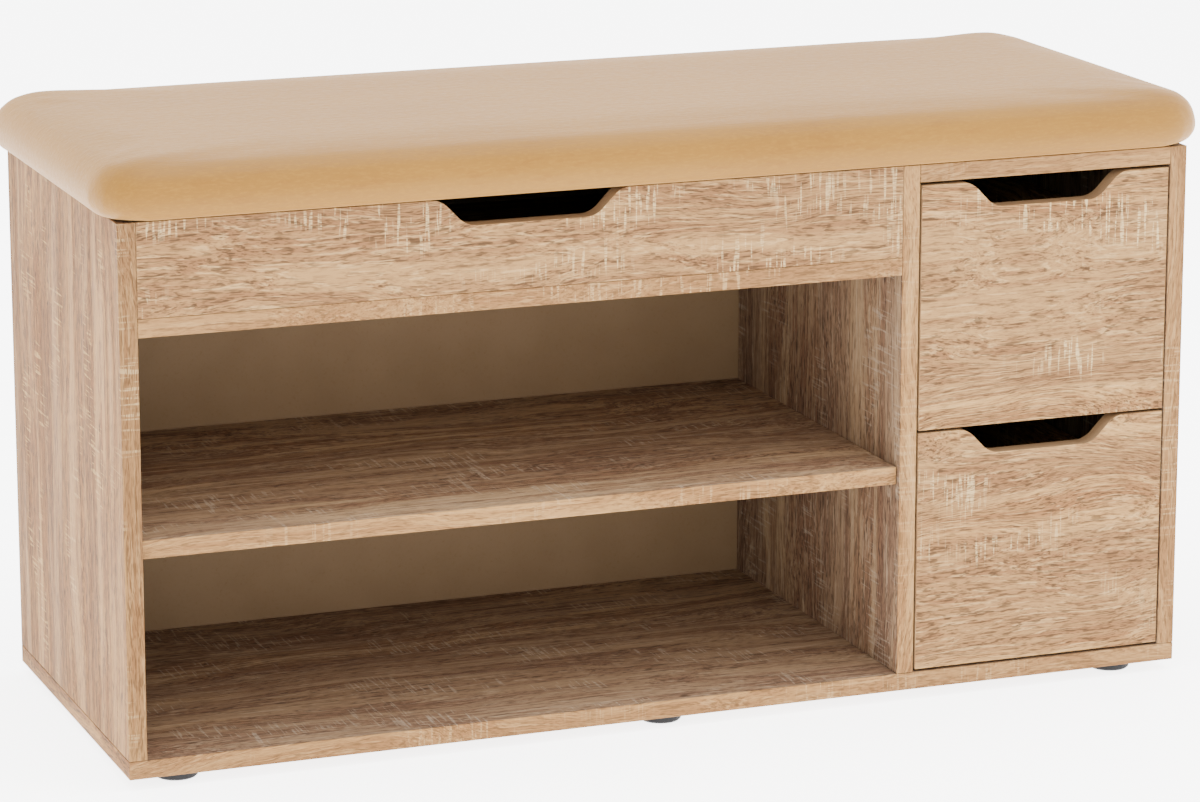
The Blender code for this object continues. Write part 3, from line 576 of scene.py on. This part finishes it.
polypropylene = skin(
    "moulded_black_polypropylene", tones=("101012", "1B1B1D"), blotch_mm=9, grit_mm=0.9,
    roughness=(0.48, 0.62), relief_mm=0.1, Specular_IOR_Level=0.2)
enamel = skin(
    "baked_white_enamel", tones=("DAD9D2", "EAE9E4"), blotch_mm=14, grit_mm=1.4,
    roughness=(0.26, 0.38), relief_mm=0.06)
nylon = skin(
    "white_nylon", tones=("D8D6CC", "E6E4DC"), blotch_mm=6, grit_mm=0.8,
    roughness=(0.40, 0.50), relief_mm=0.05, Subsurface_Weight=0.08)
zinc = skin(
    "bright_zinc_plate", tones=("84888B", "A2A6A8"), blotch_mm=5, grit_mm=0.7,
    roughness=(0.26, 0.42), relief_mm=0.05, Metallic=1.0)
wire = skin(
    "galvanised_wire", tones=("777A7D", "989B9D"), blotch_mm=3, grit_mm=0.5,
    roughness=(0.30, 0.45), relief_mm=0.03, Metallic=1.0)
FITTINGS = {
    "foot_": polypropylene, "runner_": enamel, "roller_": nylon, "shelf_pin_": zinc,
    "hinge_left_": zinc, "hinge_middle_": zinc, "hinge_right_": zinc}
for beginning, skin_of in FITTINGS.items():
    fittings = [name for name in nodes if name.startswith(beginning)]
    finish(fittings, skin_of)
    print(beginning, "nodes:", len(fittings))

# %% [markdown]
# ## The upholstered cover
# The real cover is one sheet, drawn over foam and stapled under the lid board. It could be a block
# with rounded edges, but drawn fabric crowns between its corners. So a rounded block is remeshed
# evenly and blown up a little by a cloth simulation with pressure, while its underside is held. The
# movement is capped, so that the fabric stays near its true size, and it may hardly draw inwards,
# because the foam is behind it. Then the underside is opened inside the hem, and the skin gets its
# thickness.

# %% Rounded block for the cover
low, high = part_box("cushion_cover")
PLAN_R, TOP_R, BOTTOM_R = 0.046, 0.0287, 0.016
PLAN_STEPS, TOP_STEPS, BOTTOM_STEPS = 10, 9, 5


def new_piece(name, bm, material, body):
    """Turns a bmesh into an object with its material, body and slot."""
    mesh = bpy.data.meshes.new(name)
    bm.to_mesh(mesh)
    bm.free()
    mesh.materials.append(material)
    piece = bpy.data.objects.new(name, mesh)
    bpy.context.scene.collection.objects.link(piece)
    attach(piece, body)
    return piece


def flat_ring(bm, level):
    """The edges that lie level at one height."""
    return [e for e in bm.edges if all(abs(v.co.z - level) < 1e-5 for v in e.verts)]


bm = bmesh.new()
middle, size = (low + high) / 2, high - low
bmesh.ops.create_cube(bm, size=1, matrix=Matrix.Translation(middle) @ Matrix.Diagonal((*size, 1)))
upright = [e for e in bm.edges if abs(e.verts[0].co.z - e.verts[1].co.z) > size.z / 2]
bmesh.ops.bevel(bm, geom=upright, offset=PLAN_R, segments=PLAN_STEPS, profile=0.5,
                affect="EDGES", material=-1)
for level, radius, segments in ((high.z, TOP_R, TOP_STEPS), (low.z, BOTTOM_R, BOTTOM_STEPS)):
    rim = [e for e in flat_ring(bm, level) if len(e.link_faces) == 2
           and any(abs(f.normal.z) < 0.5 for f in e.link_faces)]
    bmesh.ops.bevel(bm, geom=rim, offset=radius, segments=segments, profile=0.5,
                    affect="EDGES", material=-1)
block = bpy.data.meshes.new("cover_block")
bm.to_mesh(block)
bm.free()
cover = bpy.data.objects.new("seat_cover", block)
bpy.context.scene.collection.objects.link(cover)
print("cover block:", len(block.polygons), "faces")

# %% Blow it up, with its underside held
VOXEL = 0.0075
HELD_BAND = 0.004
PRESSURE, STRETCH_STIFFNESS, BEND_STIFFNESS = 4.0, 20, 1.5
LAST_FRAME = 20
CROWN_CAP = 0.0035
DRAW_IN = 0.0005


def apply_modifiers(item):
    """Bakes an object's modifiers into its mesh."""
    bpy.context.view_layer.update()
    ready = item.evaluated_get(bpy.context.evaluated_depsgraph_get())
    mesh = bpy.data.meshes.new_from_object(ready)
    item.modifiers.clear()
    item.data = mesh


remesh = cover.modifiers.new("even", "REMESH")
remesh.mode = "VOXEL"
remesh.voxel_size = VOXEL
apply_modifiers(cover)
rest = [v.co.copy() for v in cover.data.vertices]
outward = [v.normal.copy() for v in cover.data.vertices]
held = cover.vertex_groups.new(name="held")
held.add([i for i, co in enumerate(rest) if co.z < low.z + HELD_BAND], 1.0, "REPLACE")
cloth = cover.modifiers.new("cloth", "CLOTH")
cloth.settings.vertex_group_mass = "held"
cloth.settings.use_pressure = True
cloth.settings.uniform_pressure_force = PRESSURE
cloth.settings.effector_weights.gravity = 0
cloth.settings.tension_stiffness = STRETCH_STIFFNESS
cloth.settings.compression_stiffness = STRETCH_STIFFNESS
cloth.settings.bending_stiffness = BEND_STIFFNESS
cloth.point_cache.frame_start = 1
cloth.point_cache.frame_end = LAST_FRAME
for step in range(1, LAST_FRAME + 1):
    bpy.context.scene.frame_set(step)
apply_modifiers(cover)
cover.vertex_groups.clear()
furthest = 0.0
for vertex, start_place, out in zip(cover.data.vertices, rest, outward):
    move = vertex.co - start_place
    furthest = max(furthest, move.length)
    if move.length > CROWN_CAP:
        move = move.normalized() * CROWN_CAP
    inwards = min(0.0, move.dot(out) + DRAW_IN)
    vertex.co = start_place + move - out * inwards
print("cover points:", len(rest), "furthest move in mm:", round(furthest * 1000, 2))

# %% [markdown]
# The underside is opened with four clean cuts, 45 mm in from the edge, so that the hem has straight
# edges. Where the sheet is gathered round each corner, it lies in small pleats.

# %% Hem
HEM_W = 0.045
UNDERSIDE = low.z + 0.002
bm = bmesh.new()
bm.from_mesh(cover.data)
inner_low = Vector((low.x + HEM_W, low.y + HEM_W))
inner_high = Vector((high.x - HEM_W, high.y - HEM_W))
for axis, level in ((0, inner_low.x), (0, inner_high.x), (1, inner_low.y), (1, inner_high.y)):
    under = [f for f in bm.faces if f.calc_center_median().z < UNDERSIDE]
    geom = under + list({e for f in under for e in f.edges})
    geom += list({v for f in under for v in f.verts})
    spot, normal = Vector((0, 0, 0)), Vector((0, 0, 0))
    spot[axis], normal[axis] = level, 1
    bmesh.ops.bisect_plane(bm, geom=geom, dist=1e-5, plane_co=spot, plane_no=normal)
opening = [f for f in bm.faces if f.calc_center_median().z < UNDERSIDE
           and inner_low.x < f.calc_center_median().x < inner_high.x
           and inner_low.y < f.calc_center_median().y < inner_high.y]
bmesh.ops.delete(bm, geom=opening, context="FACES")
print("faces left in the hem and above:", len(bm.faces))

# %% Pleats and thickness
PLEATS, PLEAT_DEEP, PLEAT_FADE = 7, 0.0011, 0.02
SMOOTH_ABOVE = low.z + 0.02
SKIN_T = 0.0013
for vertex in bm.verts:
    co = vertex.co
    corner = Vector((math.copysign(high.x - PLAN_R, co.x), math.copysign(high.y - PLAN_R, co.y)))
    away = Vector((co.x, co.y)) - corner
    outside = away.x * corner.x > 0 and away.y * corner.y > 0
    if outside and co.z < low.z + BOTTOM_R:
        around = math.atan2(abs(away.y), abs(away.x)) / (math.pi / 2)
        fade = 1 - (co.z - low.z) / BOTTOM_R
        fade *= min(1, away.length / PLEAT_FADE) * math.sin(math.pi * min(1, max(0, around)))
        co.z += PLEAT_DEEP * fade * abs(math.sin(around * PLEATS * math.pi))
bmesh.ops.smooth_vert(bm, verts=[v for v in bm.verts if v.co.z > SMOOTH_ABOVE], factor=0.5,
                      use_axis_x=True, use_axis_y=True, use_axis_z=True)
for face in bm.faces:
    face.smooth = True
bm.to_mesh(cover.data)
bm.free()
cover.data.materials.clear()
cover.data.materials.append(leatherette)
wall = cover.modifiers.new("skin", "SOLIDIFY")
wall.thickness = SKIN_T
wall.offset = -1
finer = cover.modifiers.new("finer", "SUBSURF")
finer.levels = finer.render_levels = 1
cover.modifiers.move(1, 0)
apply_modifiers(cover)
for face in cover.data.polygons:
    face.use_smooth = True
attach(cover, "lid")
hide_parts("cushion_cover")
print("cover faces:", len(cover.data.polygons))

# %% [markdown]
# ## Foam slab
# Inside the cover a slab of foam lies on the lid board. Nobody sees it, but it belongs to the
# piece: it is the same rounded block, a little smaller all round and cut off flat above the board.

# %% Foam slab
SLAB_SHRINK, SLAB_GAP = 0.0030, 0.0003
bm = bmesh.new()
bm.from_mesh(block)
bmesh.ops.recalc_face_normals(bm, faces=bm.faces)
inward = [(v, v.normal.copy()) for v in bm.verts]
for vertex, normal in inward:
    vertex.co -= normal * SLAB_SHRINK
board_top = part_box("lid_board")[1].z + SLAB_GAP
geom = list(bm.verts) + list(bm.edges) + list(bm.faces)
cut = bmesh.ops.bisect_plane(bm, geom=geom, dist=1e-6, plane_co=(0, 0, board_top),
                             plane_no=(0, 0, 1), clear_inner=True)
bottom_edges = [e for e in cut["geom_cut"] if isinstance(e, bmesh.types.BMEdge)]
bmesh.ops.contextual_create(bm, geom=bottom_edges)
bmesh.ops.triangulate(bm, faces=[f for f in bm.faces if len(f.verts) > 4])
bmesh.ops.recalc_face_normals(bm, faces=bm.faces)
slab = new_piece("foam_slab", bm, foam, "lid")
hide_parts("foam_pad")
print("foam slab faces:", len(slab.data.polygons))

# %% [markdown]
# ## Dust cloth
# A thin black cloth closes the underside of the lid, inside the hem. It is a flat sheet pulled
# tight, so a grid with a slight waver between its staples is enough.

# %% Dust cloth
CLOTH_T = 0.0003
WAVER, WAVES_X, WAVES_Y = 0.00012, 90, 70
cloth_low, cloth_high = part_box("dust_cloth")
cloth_size = cloth_high - cloth_low
bm = bmesh.new()
bmesh.ops.create_grid(bm, x_segments=90, y_segments=34, size=0.5, matrix=Matrix.Translation(
    ((cloth_low.x + cloth_high.x) / 2, (cloth_low.y + cloth_high.y) / 2, cloth_high.z - CLOTH_T))
    @ Matrix.Diagonal((cloth_size.x, cloth_size.y, 1, 1)))
for vertex in bm.verts:
    vertex.co.z += WAVER * math.sin(vertex.co.x * WAVES_X) * math.sin(vertex.co.y * WAVES_Y + 1)
bmesh.ops.reverse_faces(bm, faces=bm.faces)
bmesh.ops.solidify(bm, geom=bm.faces, thickness=CLOTH_T)
dust_cloth = new_piece("dust_cloth_sheet", bm, dust_fabric, "lid")
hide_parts("dust_cloth")
print("dust cloth size:", [round(v, 4) for v in cloth_size])

# %% [markdown]
# ## Screws, staples and nails
# Small fixings make a cabinet look built. A countersunk screw is a spun head with a cross cut into
# it. One is made well, then copied to each hole in its leaf or foot. The nails of the back are
# flat discs with a domed rim, and the staples are short bent wires pressed into the hem.

# %% One head with a cross recess
HEAD_R, HEAD_H = 0.0035, 0.0009
CAM_R, CAM_H = 0.0075, 0.0014


def turned(profile, steps=20):
    """A closed solid spun about Z from (radius, height) points that start and end on the axis."""
    bm = bmesh.new()
    points = [bm.verts.new((r, 0, z)) for r, z in profile]
    edges = [bm.edges.new(pair) for pair in zip(points, points[1:])]
    bmesh.ops.spin(bm, geom=points + edges, cent=(0, 0, 0), axis=(0, 0, 1),
                   angle=2 * math.pi, steps=steps, use_merge=True)
    bmesh.ops.remove_doubles(bm, verts=bm.verts, dist=1e-6)
    bmesh.ops.recalc_face_normals(bm, faces=bm.faces)
    return bm


def cross_head(radius, height):
    """A round head that looks up, its rim at height 0, with a cross recess cut into it."""
    bm = turned([(0, -height), (radius * 0.6, -height), (radius, 0), (radius * 0.92, height * 0.25),
                 (radius * 0.5, height * 0.38), (0, height * 0.42)])
    head = bpy.data.objects.new("head", bpy.data.meshes.new("head"))
    bm.to_mesh(head.data)
    bm.clear()
    for turn in (0, math.pi / 2):
        bmesh.ops.create_cube(bm, size=1, matrix=Matrix.Translation((0, 0, height * 0.5))
                              @ Matrix.Rotation(turn, 4, "Z")
                              @ Matrix.Diagonal((radius * 1.2, radius * 0.23, height * 1.5, 1)))
    cross = bpy.data.objects.new("cross", bpy.data.meshes.new("cross"))
    bm.to_mesh(cross.data)
    bm.free()
    for item in (head, cross):
        bpy.context.scene.collection.objects.link(item)
    cut = head.modifiers.new("cut", "BOOLEAN")
    cut.operation, cut.solver, cut.use_self, cut.object = "DIFFERENCE", "EXACT", True, cross
    apply_modifiers(head)
    mesh = head.data
    for item in (head, cross):
        bpy.data.objects.remove(item)
    return mesh


def copies(name, mesh, places, material, body, spin_step=0):
    """One piece made of copies of a mesh. Each place is a point and the way its top looks, and
    each copy is turned spin_step degrees further than the last."""
    bm = bmesh.new()
    for index, (point, up) in enumerate(places):
        before = len(bm.verts)
        bm.from_mesh(mesh)
        bm.verts.ensure_lookup_table()
        turn = Vector(up).to_track_quat("Z", "Y").to_matrix().to_4x4()
        spin = Matrix.Rotation(math.radians(spin_step * index), 4, "Z")
        bmesh.ops.transform(bm, matrix=Matrix.Translation(point) @ turn @ spin,
                            verts=bm.verts[before:])
    print(name, "copies:", len(places))
    return new_piece(name, bm, material, body)


screw = cross_head(HEAD_R, HEAD_H)
cam = cross_head(CAM_R, CAM_H)
print("screw head faces:", len(screw.polygons))

# %% Hinge screws and glide screws
SCREW_ASIDE, SCREW_FROM_PIN = 0.020, 0.0156
KNUCKLE_R, LEAF_T = 0.003, 0.0012
GLIDE_RECESS_Z = 0.0052
LEAF_FACE = KNUCKLE_R - LEAF_T
SCREW_SPIN = 37
back_places, lid_places = [], []
for name in nodes:
    if name.startswith("hinge_") and name.endswith("_pin"):
        axis = sum(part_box(name), Vector()) / 2
        for side in (-SCREW_ASIDE, SCREW_ASIDE):
            back_spot = (axis.x + side, axis.y - LEAF_FACE, axis.z - SCREW_FROM_PIN)
            lid_spot = (axis.x + side, axis.y - SCREW_FROM_PIN, axis.z + LEAF_FACE)
            back_places.append((back_spot, (0, 1, 0)))
            lid_places.append((lid_spot, (0, 0, -1)))
copies("hinge_back_screws", screw, back_places, zinc, "carcass", SCREW_SPIN)
copies("hinge_lid_screws", screw, lid_places, zinc, "lid", SCREW_SPIN)
feet = [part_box(name) for name in nodes if name.startswith("foot_")]
foot_places = [(((a.x + b.x) / 2, (a.y + b.y) / 2, GLIDE_RECESS_Z), (0, 0, -1)) for a, b in feet]
copies("glide_screws", screw, foot_places, zinc, "carcass", SCREW_SPIN)

# %% [markdown]
# Cam locks pull the boards together. Their round heads lie just under the face of the board, near
# its ends: behind the fascia, under the compartment's floor and inside the drawers. They are the
# same cross head, only larger.

# %% Cam locks
CAM_IN, CAM_FLOOR_IN, CAM_SHY = 0.034, 0.06, 0.0002
CAM_SHARES = (0.28, 0.72)
fascia_low, fascia_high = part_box("front_fascia")
floor_low, floor_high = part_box("compartment_floor")
cam_places = []
for x in (fascia_low.x + CAM_IN, fascia_high.x - CAM_IN):
    cam_places.append(((x, fascia_high.y - CAM_SHY, (fascia_low.z + fascia_high.z) / 2), (0, 1, 0)))
    for y in (floor_low.y + CAM_FLOOR_IN, floor_high.y - CAM_FLOOR_IN):
        cam_places.append(((x, y, floor_low.z + CAM_SHY), (0, 0, -1)))
copies("carcass_cams", cam, cam_places, zinc, "carcass")
for drawer in ("drawer_upper", "drawer_lower"):
    cam_places = []
    for side, inwards in (("left", 1), ("right", -1)):
        side_low, side_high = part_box(drawer + "_side_" + side)
        inner = side_high.x if inwards > 0 else side_low.x
        for share in CAM_SHARES:
            z = side_low.z + (side_high.z - side_low.z) * share
            for y in (side_low.y + CAM_IN, side_high.y - CAM_IN):
                cam_places.append(((inner - inwards * CAM_SHY, y, z), (inwards, 0, 0)))
    copies(drawer + "_cams", cam, cam_places, zinc, drawer)

# %% [markdown]
# The back panel is nailed all round, along the partition and into the compartment's floor, about
# every 115 mm. The nails skip the places where the hinges are.

# %% Nails in the back panel
NAIL_R, NAIL_H, NAIL_SUNK, NAIL_RIM_H = 0.0028, 0.0006, 0.0003, 0.0001
NAIL_STEP, NAIL_INSET, HINGE_CLEAR = 0.115, 0.008, 0.01
nail_mesh = bpy.data.meshes.new("nail")
nail = turned([(0, -NAIL_SUNK), (NAIL_R * 0.9, -NAIL_SUNK), (NAIL_R, NAIL_RIM_H),
               (NAIL_R * 0.9, NAIL_H * 0.7), (NAIL_R * 0.5, NAIL_H), (0, NAIL_H)], steps=14)
nail.to_mesh(nail_mesh)
nail.free()
panel_low, panel_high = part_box("back_panel")


def row(first, last, step):
    """Evenly spaced places from first to last, about a step apart."""
    count = max(2, round((last - first) / step) + 1)
    return [first + (last - first) * i / (count - 1) for i in range(count)]


columns = row(panel_low.x + NAIL_INSET, panel_high.x - NAIL_INSET, NAIL_STEP)
rows = row(panel_low.z + NAIL_INSET, panel_high.z - NAIL_INSET, NAIL_STEP)
partition_x = sum(corner.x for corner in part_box("partition")) / 2
floor_z = sum(corner.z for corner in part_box("compartment_floor")) / 2
spots = {(x, z) for x in columns for z in (rows[0], rows[-1])}
spots |= {(x, z) for z in rows for x in (columns[0], columns[-1])}
spots |= {(partition_x, z) for z in rows[1:-1]}
spots |= {(x, floor_z) for x in columns[1:-1] if x < partition_x}
near_hinge = [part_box(name) for name in nodes if name.endswith("_carcass_leaf")]
nails = [((x, panel_high.y, z), (0, 1, 0)) for x, z in sorted(spots)
         if not any(a.x - HINGE_CLEAR < x < b.x + HINGE_CLEAR and z > a.z - HINGE_CLEAR
                    for a, b in near_hinge)]
copies("back_panel_nails", nail_mesh, nails, zinc, "carcass")

# %% [markdown]
# Staples hold the hem down every 32 mm, close to its inner edge. A staple gun is never held quite
# straight, so each one leans a few degrees its own way. They keep clear of the corners, where the
# pleats are, and of the hinges' leaves.

# %% One staple
STAPLE_LONG, STAPLE_WIDE, STAPLE_T, STAPLE_PROUD = 0.0100, 0.0012, 0.0008, 0.0002
staple_mesh = bpy.data.meshes.new("staple")
bm = bmesh.new()
bmesh.ops.create_cube(bm, size=1, matrix=Matrix.Diagonal((STAPLE_LONG, STAPLE_WIDE, STAPLE_T, 1)))
ends = [e for e in bm.edges if abs(e.verts[0].co.x - e.verts[1].co.x) < 1e-6
        and e.verts[0].co.z > 0 and e.verts[1].co.z > 0]
bmesh.ops.bevel(bm, geom=ends, offset=STAPLE_T / 2, segments=2, profile=0.5,
                affect="EDGES", material=-1)
bmesh.ops.translate(bm, verts=bm.verts, vec=(0, 0, STAPLE_PROUD - STAPLE_T / 2))
bm.to_mesh(staple_mesh)
bm.free()
print("staple faces:", len(staple_mesh.polygons))

# %% Staples in the hem
STAPLE_STEP, STAPLE_FROM_EDGE, CORNER_CLEAR = 0.032, 0.006, 0.07
STAPLE_INSET = HEM_W - STAPLE_FROM_EDGE
LEAF_CLEAR_X, LEAF_CLEAR_Y = 0.008, 0.004
LEAN, LEAN_STEP = 9, 2.4
places = []
for x in row(low.x + CORNER_CLEAR, high.x - CORNER_CLEAR, STAPLE_STEP):
    places += [((x, low.y + STAPLE_INSET, low.z), 0), ((x, high.y - STAPLE_INSET, low.z), 0)]
for y in row(low.y + CORNER_CLEAR, high.y - CORNER_CLEAR, STAPLE_STEP):
    places += [((low.x + STAPLE_INSET, y, low.z), 90), ((high.x - STAPLE_INSET, y, low.z), 90)]
lid_leaves = [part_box(name) for name in nodes if name.endswith("_lid_leaf")]


def on_a_leaf(spot):
    """Says whether a place in the hem is at the lid leaf of a hinge."""
    return any(a.x - LEAF_CLEAR_X < spot[0] < b.x + LEAF_CLEAR_X and spot[1] > a.y - LEAF_CLEAR_Y
               for a, b in lid_leaves)


places = [(spot, turn) for spot, turn in places if not on_a_leaf(spot)]
bm = bmesh.new()
for index, (spot, turn) in enumerate(places):
    before = len(bm.verts)
    bm.from_mesh(staple_mesh)
    bm.verts.ensure_lookup_table()
    lean = math.radians(turn + LEAN * math.sin(index * LEAN_STEP))
    bmesh.ops.transform(bm, verts=bm.verts[before:], matrix=Matrix.Translation(spot)
                        @ Matrix.Rotation(math.pi, 4, "X") @ Matrix.Rotation(lean, 4, "Z"))
new_piece("hem_staples", bm, wire, "lid")
print("staples:", len(places))

# %% [markdown]
# ## Floor
# A plain floor, wide enough to fill the view, is the whole of the set. It is matt white and lit
# from below, like the light table under small goods, so that only the contact shadows show on it.

# %% Floor
FLOOR_R, FLOOR_GLOW = 30, 4.4
floor_white, tree, shader = start(
    "matt_white_floor", Base_Color=srgb("F7F7F7"), Roughness=0.9,
    Emission_Color=srgb("FFFFFF"), Emission_Strength=FLOOR_GLOW)
bm = bmesh.new()
bmesh.ops.create_circle(bm, cap_ends=True, segments=64, radius=FLOOR_R)
floor_mesh = bpy.data.meshes.new("studio_floor")
bm.to_mesh(floor_mesh)
bm.free()
floor_mesh.materials.append(floor_white)
floor = bpy.data.objects.new("studio_floor", floor_mesh)
bpy.context.scene.collection.objects.link(floor)
print("floor radius in m:", FLOOR_R)
